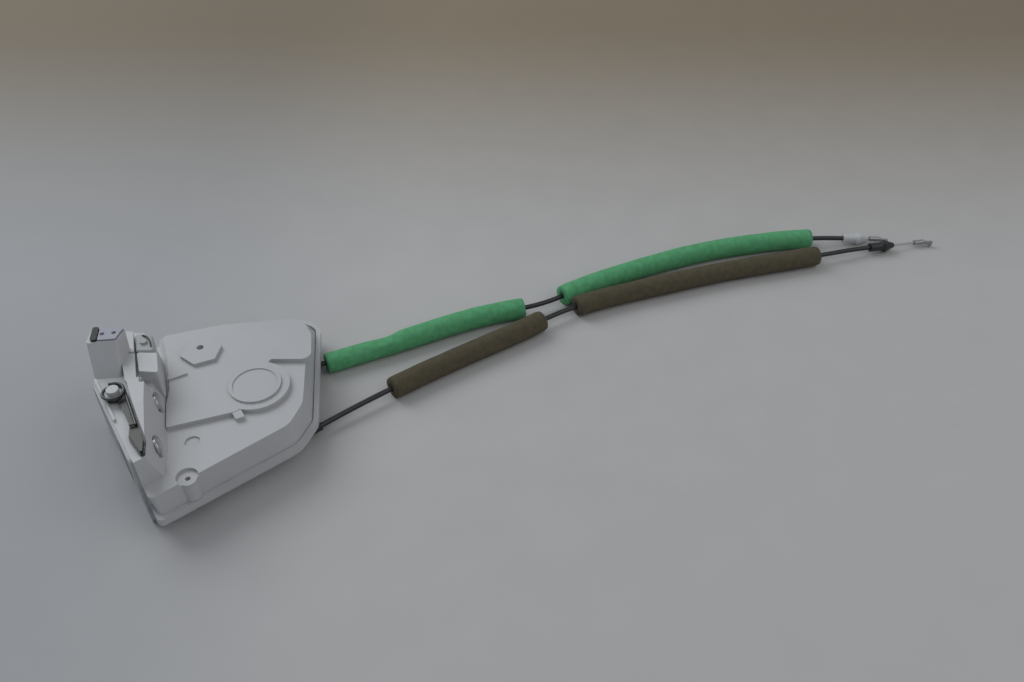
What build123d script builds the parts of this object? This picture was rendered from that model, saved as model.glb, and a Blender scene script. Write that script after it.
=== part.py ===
from build123d import *
import math
import os

os.makedirs("parts", exist_ok=True)

# Door latch actuator, millimetres.
# Latch frame: X away from the face plate, Y along the face plate, Z up through the
# housing cover.  Everything is moved at the end so that the origin is the middle of
# the underside of the latch, cables left out.

# ---- face plate -------------------------------------------------------------
PLATE_T = 1.8
PLATE_FRONT = -53.0
PLATE_BACK = 40.0
PLATE_STEP_Y = 18.0
PLATE_STEP_Z = 26.0
PLATE_CORNER_R = 4.0
SLOT_Y = -20.0
SLOT_WIDTH = 13.0
MOUNT_HOLE_R = 2.5
MOUNT_COLLAR_R = 5.2
MOUNT_COLLAR_H = 3.4
MOUNT_FRONT_Y = -44.0
MOUNT_LOW_Z = 9.0
MOUNT_BACK_Y = 31.0
MOUNT_TOP_Y = 10.0

# ---- claw and pawl ----------------------------------------------------------
RUN = 0.06
GAP = 0.3
CLAW_X = 4.4
CLAW_T = 4.0
CLAW_Y = -5.0
CLAW_PIN_R = 3.8
CLAW_HUB_R = 7.8
CLAW_UPPER_R = 26.0
CLAW_LOWER_R = 24.0
CLAW_MOUTH_ANGLE = 251.7
CLAW_MOUTH_ROOT = 12.0
MOUTH_HALF = 5.5
JAW_UPPER_W = 8.0
JAW_LOWER_W = 7.0
JACKET_T = 1.2
PAWL_Y = -38.5
PAWL_PIN_R = 3.2
PAWL_HUB_R = 6.2
PAWL_NOSE_R = 2.5
PAWL_NOSE_ANGLE = 202.0
PAWL_TAIL_W = 4.0
PAWL_TAIL_LEAN = 5.0
POCKET_DEPTH = 11.2
POCKET_WALL = 2.4
BACK_PLATE_T = 1.6
RIVET_R = 5.4
RIVET_H = 2.2
COIL_WIRE = 1.2

# ---- moulded latch body -----------------------------------------------------
BODY_H = 52.0
PLATE_TOP = BODY_H
CLAW_Z = BODY_H - POCKET_WALL - CLAW_HUB_R - GAP
PAWL_Z = CLAW_Z
SLOT_TOP = CLAW_Z - 3.5
MOUNT_TOP_Z = BODY_H - 11.0
RIDGE_H = BODY_H + 5.0
TOWER_TOP_Z = BODY_H + 18.0
LIP_H = 1.6
LIP_T = 1.4

# ---- outside handle lever ---------------------------------------------------
POST_X = 8.0
POST_Y = 0.2
POST_R = 3.4
POST_H = 7.4
POST_CAP_R = 4.4
LEVER_T = 2.2
LEVER_EYE_R = 4.5
LEVER_CLEAR = 0.4
SPRING_WIRE = 1.8
SPRING_R = 5.9
SPRING_TURNS = 1.2
SPRING_LEAN = -5.0
SPRING_PITCH = 1.1
LEG_IN = 0.5
LEG_UNDER = 0.08

# ---- housing ----------------------------------------------------------------
WALL = 2.2
SEAM_Z = 13.0
RIM_TOP = 16.2
RIM_T = 3.0
FLANGE_T = 1.6
PLATEAU_Z = 32.4
STEP_H = 3.0
DISC_X = 82.4
DISC_Y = -15.5
DISC_R = 15.6
DISC_H = 1.4
DISC_STEP = 2.2
HEX_X = 65.5
HEX_Y = 30.0
HEX_R = 12.8
HEX_TURN = -10.0
HEX_H = 2.4
HEX_HOLE_R = 2.2
SCREW_R = 1.7
SCREW_HEAD_R = 3.4
SCREW_HEAD_H = 2.2
SCREW_TOP = 24.0
BOSS_R = 4.4

# ---- lock drive -------------------------------------------------------------
TOOTH = 1.0
PINION_TEETH = 10
SECTOR_TEETH = 44
PINION_T = 3.6
PINION_Z = 12.6
WHEEL_R = 12.6
WHEEL_T = 4.6
WHEEL_TEETH = 26
WHEEL_PIN_R = 2.4
WORM_R = 3.6
WORM_L = 11.0
WORM_PITCH = 2.2
SHAFT_R = 1.0
MOTOR_R = 10.6
MOTOR_FLAT = 7.8
MOTOR_L = 29.0
MOTOR_NOSE = 9.0
LOCK_ANGLE = 140.0
LOCK_PLATE_T = 2.4
LOCK_PIN_R = 2.6
LOCK_ARM = 16.0
RELEASE_X = 35.6
RELEASE_Y = -36.4
RELEASE_Z = 19.0
RELEASE_PLATE_T = 2.4
RELEASE_PIN_R = 2.4
RELEASE_ARM = 17.0
FINGER_TIP_X = 4.6
FINGER_W = 3.2

# ---- connector --------------------------------------------------------------
SOCKET_X = 108.0
SOCKET_W = 25.0
SOCKET_H = 12.0
SOCKET_START = 46.0
SOCKET_END = 66.0
SOCKET_DEPTH = 12.0
SOCKET_WALL = 1.6
TERMINALS = 4
TERMINAL_SIDE = 1.0
TERMINAL_Z = 3.6

# ---- cables -----------------------------------------------------------------
CONDUIT_R = 1.75
SLEEVE_R = 7.0
FERRULE_R = 3.3
FERRULE_L = 20.0
FERRULE_SHANK = 9.5
FERRULE_FLARE = 2.2
FERRULE_HEAD_R = 4.8
FERRULE_TIP_R = 1.9
FERRULE_FLATS = 7.4
WIRE_R = 0.75
RELEASE_WIRE_OUT = 18.5
LOCK_WIRE_OUT = 1.6
WIRE_IN = 15.0
HOOK_BARREL_R = 1.9
HOOK_BARREL_L = 8.0
HOOK_TAB_L = 6.0
HOOK_BEND = 30.0
HOOK_PIN_R = 1.4
HOOK_PIN_H = 3.6
BUSH_R = 2.8
BUSH_L = 10.0

# The two cable routes, each from its bush on the housing to its conduit ferrule.
RELEASE_ROUTE = [
    (109.5, -41.0, 6.6), (134.0, -38.2, 7.0), (184.0, -35.4, 7.0), (224.0, -34.8, 7.0),
    (262.0, -35.6, 7.0), (294.0, -33.4, 7.0), (325.5, -37.0, 7.0), (372.0, -48.2, 7.0),
    (424.0, -61.8, 7.0), (474.0, -78.8, 7.0), (508.0, -90.5, 7.0), (530.0, -96.4, 6.0),
    (541.5, -100.6, 5.4),
]
LOCK_ROUTE = [
    (133.0, 9.6, 7.0), (154.0, 6.4, 7.0), (186.0, 1.4, 7.0), (222.0, -2.6, 7.0),
    (256.0, -8.4, 7.0), (291.0, -20.4, 7.0), (326.0, -19.4, 7.0), (374.0, -24.6, 7.0),
    (428.0, -34.2, 7.0), (484.0, -54.6, 7.0), (511.8, -68.9, 7.0), (525.2, -76.1, 6.2),
    (533.6, -80.7, 5.4),
]

# ---- housing outlines (counter-clockwise, corner radii beside them) -----------
SIDE = [(45.4, 54.0), (44.0, 39.0), (36.0, 9.0), (20.0, -40.0), (14.0, -52.5), (2.0, -53.5)]
FLANGE = [(2.0, -67.6), (90.0, -58.6), (107.0, -45.5), (146.0, 35.0), (138.0, 48.5), (84.0, 67.0),
          (48.0, 72.0)] + SIDE
FLANGE_RADII = [3.0, 20.0, 14.0, 12.0, 12.0, 14.0, 5.0] + [0.0] * len(SIDE)
PLATEAU = [(2.0, -64.4), (87.0, -54.0), (101.0, -42.0), (133.0, 21.0), (129.0, 31.0), (86.0, 51.5),
           (48.4, 62.0)] + SIDE
PLATEAU_RADII = [3.0, 14.0, 16.0, 9.0, 9.0, 12.0, 4.0] + [0.0] * len(SIDE)
OUTER_EDGES = 6
END_INSET = 8.0
BESIDE = SIDE[::-1] + [(48.0, 75.0), (30.0, 90.0), (-20.0, 60.0), (-20.0, -50.0)]
BODY_OUTLINE = [(PLATE_T, -53.5)] + SIDE[::-1][1:] + [(34.0, 58.0), (PLATE_T, 44.0)]
BODY_UPPER = [(PLATE_T, -53.5), (14.0, -52.5), (20.0, -40.0), (36.0, 9.0), (43.0, 35.0), (42.4, 45.0),
              (25.5, 57.0), (11.0, 45.0), (PLATE_T, 20.0)]
WALL_DRAFT = 7.6
DRAFT_TOP = 57.0
WALL_FOOT = [(12.3, -56.0), (14.0, -52.5), (20.0, -40.0), (36.0, 9.0), (44.0, 39.0), (47.0, 62.0)]


# ---- small helpers ----------------------------------------------------------
def outline(points, radii=None):
    """A flat face through the points, each corner with its own radius."""
    face = make_face(Polyline(*points, close=True))
    if radii is None:
        return face
    for corner, radius in zip(points, radii):
        if radius > 0:
            here = Vector(corner[0], corner[1], 0)
            nearest = face.vertices().sort_by_distance(here)[0]
            face = fillet(nearest, radius)
    return face


def prism(points, low, high, radii=None):
    """A straight column standing on an outline."""
    return extrude(Pos(0, 0, low) * outline(points, radii), high - low)


def tub(lower, lower_radii, upper, upper_radii, low, high):
    """A drafted column between two outlines with the same corners."""
    faces = [Pos(0, 0, low) * outline(lower, lower_radii)]
    faces.append(Pos(0, 0, high) * outline(upper, upper_radii))
    return loft([face.faces()[0] for face in faces], ruled=True)


def inset(points, distances):
    """The outline with each edge moved in by its own distance."""
    count = len(points)
    lines = []
    for i in range(count):
        start = Vector(*points[i])
        along = (Vector(*points[(i + 1) % count]) - start).normalized()
        normal = Vector(-along.Y, along.X)
        lines.append((start + normal * distances[i], along))
    moved = []
    for i in range(count):
        a, u = lines[i - 1]
        b, v = lines[i]
        cross = u.X * v.Y - u.Y * v.X
        reach = ((b.X - a.X) * v.Y - (b.Y - a.Y) * v.X) / cross
        moved.append((a.X + u.X * reach, a.Y + u.Y * reach))
    return moved


def edge_distances(outer):
    """Inset distances: the free edges move in, the edges beside the latch body stay."""
    return [outer] * OUTER_EDGES + [0.0] * len(SIDE) + [min(outer, END_INSET)]


def shrunk(radii, distance):
    """Corner radii of an outline moved in by a distance."""
    return [max(r - distance, 0.8) if r > 0 else 0.0 for r in radii]


def across(points, start, thickness, radii=None):
    """A plate parallel to the face plate: points are (Y, Z) and it grows along +X."""
    return Plane.YZ.offset(start) * extrude(outline(points, radii), thickness)


def pin_x(y, z, radius, start, end):
    """A round pin along X."""
    return Plane.YZ.offset(start) * Pos(y, z) * extrude(Circle(radius), end - start)


def post_z(x, y, radius, low, high):
    """A round post along Z."""
    return Pos(x, y, low) * extrude(Circle(radius), high - low)


def polar(angle, radius, centre=(0.0, 0.0)):
    """A point at an angle in degrees and a radius from a centre."""
    turn = math.radians(angle)
    return centre[0] + radius * math.cos(turn), centre[1] + radius * math.sin(turn)


def block(low, high):
    """A box between two corners."""
    size = [b - a for a, b in zip(low, high)]
    middle = [(a + b) / 2 for a, b in zip(low, high)]
    return Pos(*middle) * Box(*size)


def toothed(teeth, first, count, thickness):
    """Straight-flanked gear teeth on their root disc, as a flat ring of wedges."""
    pitch_r = TOOTH * teeth / 2
    root_r = pitch_r - 1.15 * TOOTH
    tip_r = pitch_r + 0.75 * TOOTH
    half_root = 0.9 * TOOTH
    half_tip = 0.28 * TOOTH
    wedge = [(root_r - 0.6, -half_root), (tip_r, -half_tip), (tip_r, half_tip), (root_r - 0.6, half_root)]
    tooth = outline(wedge)
    ring = [Rot(0, 0, (first + i) * 360 / teeth) * tooth for i in range(count)]
    return extrude(Sketch() + ring, thickness)


# ---- face plate ---------------------------------------------------------------
def slot_strip(half, top, start, thickness):
    """The striker's way in: a round-ended strip that is open at the lower edge."""
    low = [(SLOT_Y - half, -1.0), (SLOT_Y + half, -1.0), (SLOT_Y + half, top - half), (SLOT_Y - half, top - half)]
    return across(low, start, thickness) + pin_x(SLOT_Y, top - half, half, start, start + thickness)


MOUNT_POINTS = [(MOUNT_FRONT_Y, MOUNT_LOW_Z), (MOUNT_BACK_Y, MOUNT_LOW_Z), (MOUNT_TOP_Y, MOUNT_TOP_Z)]


def face_plate():
    points = [(PLATE_FRONT, 0.0), (PLATE_BACK, 0.0), (PLATE_BACK, PLATE_STEP_Z), (PLATE_STEP_Y, PLATE_TOP),
              (PLATE_FRONT, PLATE_TOP)]
    plate = across(points, 0.0, PLATE_T, [PLATE_CORNER_R] * len(points))
    plate -= slot_strip(SLOT_WIDTH / 2, SLOT_TOP, -1.0, PLATE_T + 2)
    for y, z in MOUNT_POINTS:
        plate += pin_x(y, z, MOUNT_COLLAR_R, PLATE_T, PLATE_T + MOUNT_COLLAR_H)
    for y, z in MOUNT_POINTS:
        plate -= pin_x(y, z, MOUNT_HOLE_R, -1.0, PLATE_T + MOUNT_COLLAR_H + 1)
    plate -= pin_x(CLAW_Y, CLAW_Z, CLAW_PIN_R, -1.0, PLATE_T + 1)
    plate -= pin_x(PAWL_Y, PAWL_Z, PAWL_PIN_R, -1.0, PLATE_T + 1)
    return plate


# ---- moulded latch body -------------------------------------------------------
POCKET_FRONT = PLATE_FRONT + POCKET_WALL
POCKET_BACK = 22.0
POCKET_LOW = 3.6
POCKET_HIGH = BODY_H - POCKET_WALL
RIDGE = [(17.0, 6.0), (14.8, -12.0), (13.4, -30.0), (12.6, -44.0), (10.4, -53.0), (16.0, -53.0), (36.0, 2.0),
         (29.0, 4.0)]
RIDGE_SLOPE = [(-53.5, BODY_H - 1), (8.0, BODY_H - 1), (8.0, RIDGE_H), (-16.0, RIDGE_H), (-46.0, RIDGE_H - 2),
               (-53.5, BODY_H)]
INNER_BLOCK = [(16.3, 5.6), (21.8, 2.9), (28.0, 26.0), (21.0, 31.0)]
OUTER_BLOCK = [(25.5, 9.5), (34.4, 2.4), (39.0, 19.4), (29.3, 26.2)]
REAR_BLOCK = [(22.0, 31.6), (28.0, 27.2), (33.0, 46.0), (24.6, 53.4), (15.0, 46.0)]
RECESS = [(22.6, 0.6), (30.6, -3.4), (34.0, 2.0), (25.2, 9.1)]
RECESS_DEPTH = 4.0
BLOCK_FOOT = 37.0
TOWER_FOOT = [(2.3, 22.0), (15.6, 15.0), (27.0, 31.0), (9.0, 42.0)]
TOWER_TOP = [(5.4, 34.0), (21.0, 26.0), (29.0, 34.5), (12.0, 45.0)]
SWITCH = [(29.2, 27.6), (38.4, 21.8), (42.0, 36.6), (33.6, 44.8)]
SWITCH_H = 5.0
POCKET_END = PLATE_T + POCKET_DEPTH
CLAW_SEAT = 26.4
PAWL_SEAT = 15.8
WINDOW_LOW_Y = RELEASE_Y - FINGER_W / 2 - 6.4
WINDOW_HIGH_Y = RELEASE_Y + FINGER_W / 2 + 1.2
WINDOW_LOW_Z = RELEASE_Z - 1.2
WINDOW_HIGH_Z = RELEASE_Z + RELEASE_PLATE_T + 1.2


def pocket_outline(edge):
    """The claw and pawl pocket in (Y, Z), its top corner cut back under the leaning wall."""
    hub = PAWL_Y - PAWL_HUB_R
    return [(POCKET_FRONT + edge, POCKET_LOW + edge), (POCKET_BACK - edge, POCKET_LOW + edge),
            (POCKET_BACK - edge, POCKET_HIGH - edge), (hub + 3.6 + edge, POCKET_HIGH - edge),
            (hub - 0.9 + edge, PAWL_Z + 2.0), (hub - 0.9 + edge, PAWL_Z - 6.0),
            (POCKET_FRONT + edge, PAWL_Z - 12.0)]


def wall_cut():
    """Everything to the housing's side of the leaning wall, above the cover."""
    reach = (BODY_H + 12 - PLATEAU_Z) / (DRAFT_TOP - PLATEAU_Z)
    far = [(95.0, 70.0), (95.0, -56.0)]
    foot = WALL_FOOT + far
    head = [(x - WALL_DRAFT * reach, y) for x, y in WALL_FOOT] + far
    return tub(foot, None, head, None, PLATEAU_Z, BODY_H + 12)


def latch_body():
    body = prism(BODY_OUTLINE, 0, PLATEAU_Z) + prism(BODY_UPPER, PLATEAU_Z - 1, BODY_H)
    ridge = prism(RIDGE, BODY_H - 1, RIDGE_H)
    ridge &= across(RIDGE_SLOPE, 0, 60)
    body += ridge
    body -= wall_cut()
    body += prism(INNER_BLOCK, BODY_H - 1, RIDGE_H, [1.2] * 4)
    body += prism(OUTER_BLOCK, BLOCK_FOOT, RIDGE_H, [1.2] * 4)
    body += prism(REAR_BLOCK, BODY_H - 1, RIDGE_H, [1.2] * 5)
    body += prism(SWITCH, BLOCK_FOOT, BODY_H, [2.4] * 4)
    body -= prism(RECESS, BODY_H - RECESS_DEPTH, RIDGE_H + 1, [1.0] * 4)
    tower = loft([(Pos(0, 0, BODY_H - 1) * outline(TOWER_FOOT, [1.6] * 4)).faces()[0],
                  (Pos(0, 0, TOWER_TOP_Z) * outline(TOWER_TOP, [1.6] * 4)).faces()[0]])
    body += tower
    body += block((PLATE_T, -18.0, BODY_H - 1), (PLATE_T + LIP_T, 21.0, BODY_H + LIP_H))
    body += post_z(POST_X, POST_Y, POST_R, BODY_H - 1, BODY_H + POST_H)
    body -= across(pocket_outline(0), PLATE_T - 1, POCKET_DEPTH + 1)
    body -= slot_strip(SLOT_WIDTH / 2 + 1, SLOT_TOP, PLATE_T - 1, POCKET_DEPTH + 1)
    body -= pin_x(MOUNT_BACK_Y, MOUNT_LOW_Z, MOUNT_COLLAR_R + GAP, PLATE_T - 1, PLATE_T + MOUNT_COLLAR_H + 6)
    for y, z, radius, seat in ((CLAW_Y, CLAW_Z, CLAW_PIN_R, CLAW_SEAT), (PAWL_Y, PAWL_Z, PAWL_PIN_R, PAWL_SEAT)):
        body -= pin_x(y, z, radius, PLATE_T, seat + 1)
        body -= pin_x(y, z, RIVET_R + 1.2, seat, seat + 8)
    body -= block((PLATE_T + POCKET_DEPTH - 1, WINDOW_LOW_Y, WINDOW_LOW_Z), (30, WINDOW_HIGH_Y, WINDOW_HIGH_Z))
    return body



def back_plate():
    plate = across(pocket_outline(0.4), POCKET_END - BACK_PLATE_T, BACK_PLATE_T)
    plate -= slot_strip(SLOT_WIDTH / 2 + 1, SLOT_TOP, 0, POCKET_END + 1)
    plate -= pin_x(CLAW_Y, CLAW_Z, CLAW_PIN_R, 0, POCKET_END + 1)
    plate -= pin_x(PAWL_Y, PAWL_Z, PAWL_PIN_R, 0, POCKET_END + 1)
    plate -= block((0, WINDOW_LOW_Y, WINDOW_LOW_Z), (POCKET_END + 1, WINDOW_HIGH_Y, WINDOW_HIGH_Z))
    return plate


def pivot(y, z, radius, seat):
    """A shoulder rivet from the face plate through the body to its domed head."""
    pin = pin_x(y, z, radius, 0, seat + 0.5)
    head = pin_x(y, z, RIVET_R, seat, seat + RIVET_H)
    head = fillet(head.edges().sort_by(Axis.X)[-1], RIVET_H * 0.6)
    dimple = pin_x(y, z, RIVET_R * 0.42, seat + RIVET_H - 0.7, seat + RIVET_H + 1)
    return pin + head - dimple


def claw():
    """The fork: a hub with two jaws round a mouth, in the plane of the face plate."""
    half = MOUTH_HALF
    upper = -(half + JAW_UPPER_W)
    lower = half + JAW_LOWER_W
    shape = outline([(0, -CLAW_HUB_R), (9, upper), (CLAW_UPPER_R + 2, upper), (CLAW_UPPER_R + 2, 0),
                     (CLAW_UPPER_R + 2, lower), (8, lower), (0, CLAW_HUB_R)])
    shape = shape & Circle(CLAW_UPPER_R)
    trim = outline([(0, 0), (40, 0), (40, 40), (0, 40)]) - Circle(CLAW_LOWER_R)
    shape -= trim
    shape += Circle(CLAW_HUB_R)
    mouth_centre = CLAW_MOUTH_ROOT + half
    shape -= Pos(mouth_centre, 0) * Circle(half)
    shape -= outline([(mouth_centre, -half), (40, -half), (40, half), (mouth_centre, half)])
    shape -= Circle(CLAW_PIN_R + RUN)
    flat = Plane.YZ.offset(CLAW_X) * Pos(CLAW_Y, CLAW_Z) * Rot(0, 0, CLAW_MOUTH_ANGLE) * extrude(shape, CLAW_T)
    return flat


def pawl():
    """The pawl: a hub, a nose arm beside the claw and a tail that the release lever pushes."""
    nose = polar(PAWL_NOSE_ANGLE, CLAW_UPPER_R + GAP + PAWL_NOSE_R, (CLAW_Y, CLAW_Z))
    hub = (PAWL_Y, PAWL_Z)
    lean = 270 - PAWL_TAIL_LEAN
    tail = polar(lean, PAWL_Z - RELEASE_Z + 0.5, hub)
    solid = pin_x(*hub, PAWL_HUB_R, CLAW_X, CLAW_X + CLAW_T)
    solid += pin_x(*nose, PAWL_NOSE_R, CLAW_X, CLAW_X + CLAW_T)
    solid += bar(hub, nose, PAWL_NOSE_R, CLAW_X, CLAW_T)
    solid += bar(hub, tail, PAWL_TAIL_W / 2, CLAW_X, CLAW_T)
    solid -= pin_x(*hub, PAWL_PIN_R + RUN, CLAW_X - 1, CLAW_X + CLAW_T + 1)
    return solid


def bar(start, end, half, low, thickness):
    """A straight bar parallel to the face plate between two (Y, Z) points."""
    along = (Vector(*end) - Vector(*start)).normalized()
    side = Vector(-along.Y, along.X) * half
    corners = [Vector(*start) + side, Vector(*start) - side, Vector(*end) - side, Vector(*end) + side]
    return across([(c.X, c.Y) for c in corners], low, thickness)


def coil_x(y, z, radius, wire, start, turns, leg_angle, leg_length):
    """A torsion spring round a pin along X with one straight leg."""
    height = turns * wire * 1.1
    helix = Helix(pitch=wire * 1.1, height=height, radius=radius)
    coil = sweep(Plane(helix @ 0, z_dir=helix % 0) * Circle(wire / 2), path=helix, is_frenet=True)
    leg = Pos(radius, LEG_IN, 0) * Rot(90, 0, 0) * extrude(Circle(wire / 2 - LEG_UNDER), leg_length)
    spring = Rot(0, 0, leg_angle) * (coil + leg)
    return Plane.YZ.offset(start + wire / 2) * Pos(y, z) * spring


# ---- parts on top of the body ---------------------------------------------------
STRIP = [(8.0, 33.6), (11.2, 31.9), (16.0, 42.4), (12.8, 44.2)]
STRIP_H = 1.6
TOP_PLATE = [(11.7, 32.0), (20.8, 27.3), (24.4, 31.2), (28.2, 34.6), (16.4, 41.9)]
TOP_PLATE_T = 1.2


def top_plate():
    """The zinc plate that closes the tower, turned down along the tower's far side."""
    plate = prism(TOP_PLATE, TOWER_TOP_Z, TOWER_TOP_Z + TOP_PLATE_T, [0.8] * 5)
    for x, y in ((15.6, 35.6), (21.6, 33.0)):
        plate -= post_z(x, y, 1.3, TOWER_TOP_Z - 1, TOWER_TOP_Z + 3)
    return plate


def edge_strip():
    strip = prism(STRIP, TOWER_TOP_Z, TOWER_TOP_Z + STRIP_H, [1.2] * 4)
    return strip


def door_switch():
    """The door-ajar switch in its own small case on the body."""
    case = prism(SWITCH, BODY_H, BODY_H + SWITCH_H, [2.4] * 4)
    case = chamfer(case.faces().sort_by(Axis.Z)[-1].edges(), 0.8)
    return case


def switch_pin():
    return post_z(35.4, 32.6, 2.0, BODY_H + SWITCH_H, BODY_H + SWITCH_H + 1.4)


# ---- outside handle lever -------------------------------------------------------
LEVER = [(12.8, 1.6), (12.9, -12.0), (12.0, -43.0), (8.9, -52.6), (6.6, -52.0), (4.9, -37.4), (8.6, -27.0),
         (8.6, -8.0), (POST_X, POST_Y)]
LEVER_Z = BODY_H + 0.4
SPRING_Z = LEVER_Z + LEVER_T + 0.3


def outside_lever():
    arm = prism(LEVER, LEVER_Z, LEVER_Z + LEVER_T, [0.0, 2.0, 2.0, 0.8, 0.8, 1.5, 1.5, 0.0, 0.0])
    lever = arm + post_z(POST_X, POST_Y, LEVER_EYE_R, LEVER_Z, LEVER_Z + LEVER_T)
    lip = [(5.8, -36.6), (11.2, -36.6), (11.0, -44.0), (8.4, -51.4), (7.0, -51.4)]
    lever += prism(lip, LEVER_Z + LEVER_T - 0.2, LEVER_Z + LEVER_T + 1.4)
    lever -= post_z(POST_X, POST_Y, POST_R + RUN, LEVER_Z - 1, LEVER_Z + LEVER_T + 1)
    return lever


def lever_spring():
    """A torsion spring round the post: a long leg along the lever and a short hooked one."""
    pitch = SPRING_WIRE * SPRING_PITCH
    helix = Helix(pitch=pitch, height=pitch * SPRING_TURNS, radius=SPRING_R)
    coil = sweep(Plane(helix @ 0, z_dir=helix % 0) * Circle(SPRING_WIRE / 2), path=helix, is_frenet=True)
    leg_r = SPRING_WIRE / 2 - LEG_UNDER
    leg = Pos(SPRING_R, LEG_IN, 0) * Rot(90, 0, 0) * extrude(Circle(leg_r), 31.0)
    foot = Pos(SPRING_R, 1.4 - 31.0, 0) * Rot(0, 90, 0) * extrude(Circle(leg_r - LEG_UNDER), -3.4)
    turn = (SPRING_TURNS % 1) * 360
    hook_z = pitch * SPRING_TURNS
    hook = Pos(0, 0, hook_z) * Rot(0, 0, turn) * Pos(SPRING_R, -LEG_IN, 0) * Rot(-90, 0, 0)
    hook = hook * extrude(Circle(leg_r), 3.5)
    spring = Rot(0, 0, SPRING_LEAN) * (coil + leg + foot + hook)
    return Pos(POST_X, POST_Y, SPRING_Z + SPRING_WIRE / 2) * spring


def lever_retainer():
    """The push-on washer that keeps the lever and its spring on the post."""
    low = LEVER_Z + LEVER_T + 0.3
    washer = post_z(POST_X, POST_Y, SPRING_R - SPRING_WIRE / 2 - 0.3, low, low + 1.2)
    return washer - post_z(POST_X, POST_Y, POST_R, low - 1, low + 3)


# ---- housing ------------------------------------------------------------------
SCREW_SEAT = 4.0
EAR_TOP = 30.4
SCREWS = [(24.4, -59.6, SEAM_Z - FLANGE_T - 0.8), (92.0, -42.5, SCREW_SEAT), (124.0, 26.0, SCREW_SEAT),
          (56.0, 53.0, SCREW_SEAT)]
RAISED = [(23.5, -19.5), (66.0, -30.5), (82.0, -15.0), (99.0, 1.4), (120.2, -12.6), (130.6, 10.0),
          (130.4, 22.0), (126.4, 29.6), (85.6, 49.4), (50.0, 59.4), (46.4, 40.0), (38.4, 10.0)]
TAB = [(62.4, -28.0), (62.2, -35.6), (67.4, -36.4), (67.8, -28.0)]
SHORT_STEP = [(39.6, 16.6), (51.6, 15.8), (51.8, 18.2), (40.2, 18.8)]
RAISED_RADII = [1.0, 6.0, 2.0, 2.0, 6.0, 6.0, 3.0, 3.0, 8.0, 3.0, 1.0, 1.0]
RAISED_DISC_R = 20.6
BASE_LOW = 9.0
BASE_HIGH = 5.0


def base_outline(distance):
    return inset(FLANGE, edge_distances(distance)), shrunk(FLANGE_RADII, distance)


def cover_outline(distance):
    return inset(PLATEAU, edge_distances(distance)), shrunk(PLATEAU_RADII, distance)


def side_wall():
    """The room of the latch body and the housing wall along it."""
    return extrude(offset(outline(BESIDE), WALL, kind=Kind.INTERSECTION), 60)


def rim():
    """The raised edge of the base round the cover."""
    inner, inner_radii = base_outline(RIM_T)
    ring = prism(FLANGE, SEAM_Z, RIM_TOP, FLANGE_RADII)
    ring -= prism(inner, SEAM_Z - 1, RIM_TOP + 1, inner_radii)
    return ring


def housing_base():
    low, low_radii = base_outline(BASE_LOW)
    high, high_radii = base_outline(BASE_HIGH)
    shell = tub(low, low_radii, high, high_radii, 0, SEAM_Z - FLANGE_T)
    base = shell + prism(FLANGE, SEAM_Z - FLANGE_T, SEAM_Z, FLANGE_RADII)
    base += rim()
    low, low_radii = base_outline(BASE_LOW + WALL)
    high, high_radii = base_outline(BASE_HIGH + WALL)
    corner = block((0, 2 * PLATE_FRONT, 0), (19.0, PLATE_FRONT + 6, SEAM_Z + 1))
    base -= tub(low, low_radii, high, high_radii, WALL, SEAM_Z + 0.01) - side_wall() - corner
    for x, y, seat in SCREWS[1:]:
        base += post_z(x, y, BOSS_R + 0.8, 0.8, SEAM_Z)
    ear_x, ear_y, ear_seat = SCREWS[0]
    base += post_z(ear_x, ear_y, BOSS_R + 1.4, WALL - 0.4, SEAM_Z) & shell
    base += post_z(ear_x, ear_y, BOSS_R, ear_seat, SEAM_Z)
    socket_low = (SOCKET_X - SOCKET_W / 2, SOCKET_START, 0)
    base += block(socket_low, (SOCKET_X + SOCKET_W / 2, SOCKET_END, SOCKET_H))
    mouth = SOCKET_W / 2 - SOCKET_WALL
    mouth_low = (SOCKET_X - mouth, SOCKET_END - SOCKET_DEPTH, SOCKET_WALL)
    base -= block(mouth_low, (SOCKET_X + mouth, SOCKET_END + 1, SOCKET_H - SOCKET_WALL))
    base += post_z(LOCK_X, LOCK_Y, LOCK_PIN_R + 2.4, WALL - 0.5, LOCK_Z - 0.3)
    base += post_z(DISC_X, DISC_Y, WHEEL_PIN_R + 2.4, WALL - 0.5, PINION_Z - 0.3)
    base += post_z(RELEASE_X, RELEASE_Y, RELEASE_PIN_R + 2.4, WALL - 0.5, RELEASE_Z - 0.3)
    for y in (MOTOR_START + 4.0, MOTOR_END - 6.0):
        cradle = block((WORM_X - 7.0, y - 2.0, WALL - 0.5), (WORM_X + 7.0, y + 2.0, WORM_Z - MOTOR_FLAT))
        base += cradle
    for x, y, radius, top in PINS:
        base -= post_z(x, y, radius, 1.0, SEAM_Z + 20)
    for x, y, seat in SCREWS:
        base -= post_z(x, y, SCREW_R + 0.3, 0, SEAM_Z + 1)
        base -= post_z(x, y, SCREW_HEAD_R + 0.4, 0, seat)
    for route in (RELEASE_ROUTE, LOCK_ROUTE):
        base -= along_run(route[1], route[0], 0, BUSH_L, BUSH_R)
    for i in range(TERMINALS):
        x = SOCKET_X + (i - (TERMINALS - 1) / 2) * TERMINAL_PITCH
        half = TERMINAL_SIDE / 2
        low = (x - half, SOCKET_START - 2, TERMINAL_Z - half)
        base -= block(low, (x + half, SOCKET_END, TERMINAL_Z + half))
    return base


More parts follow.
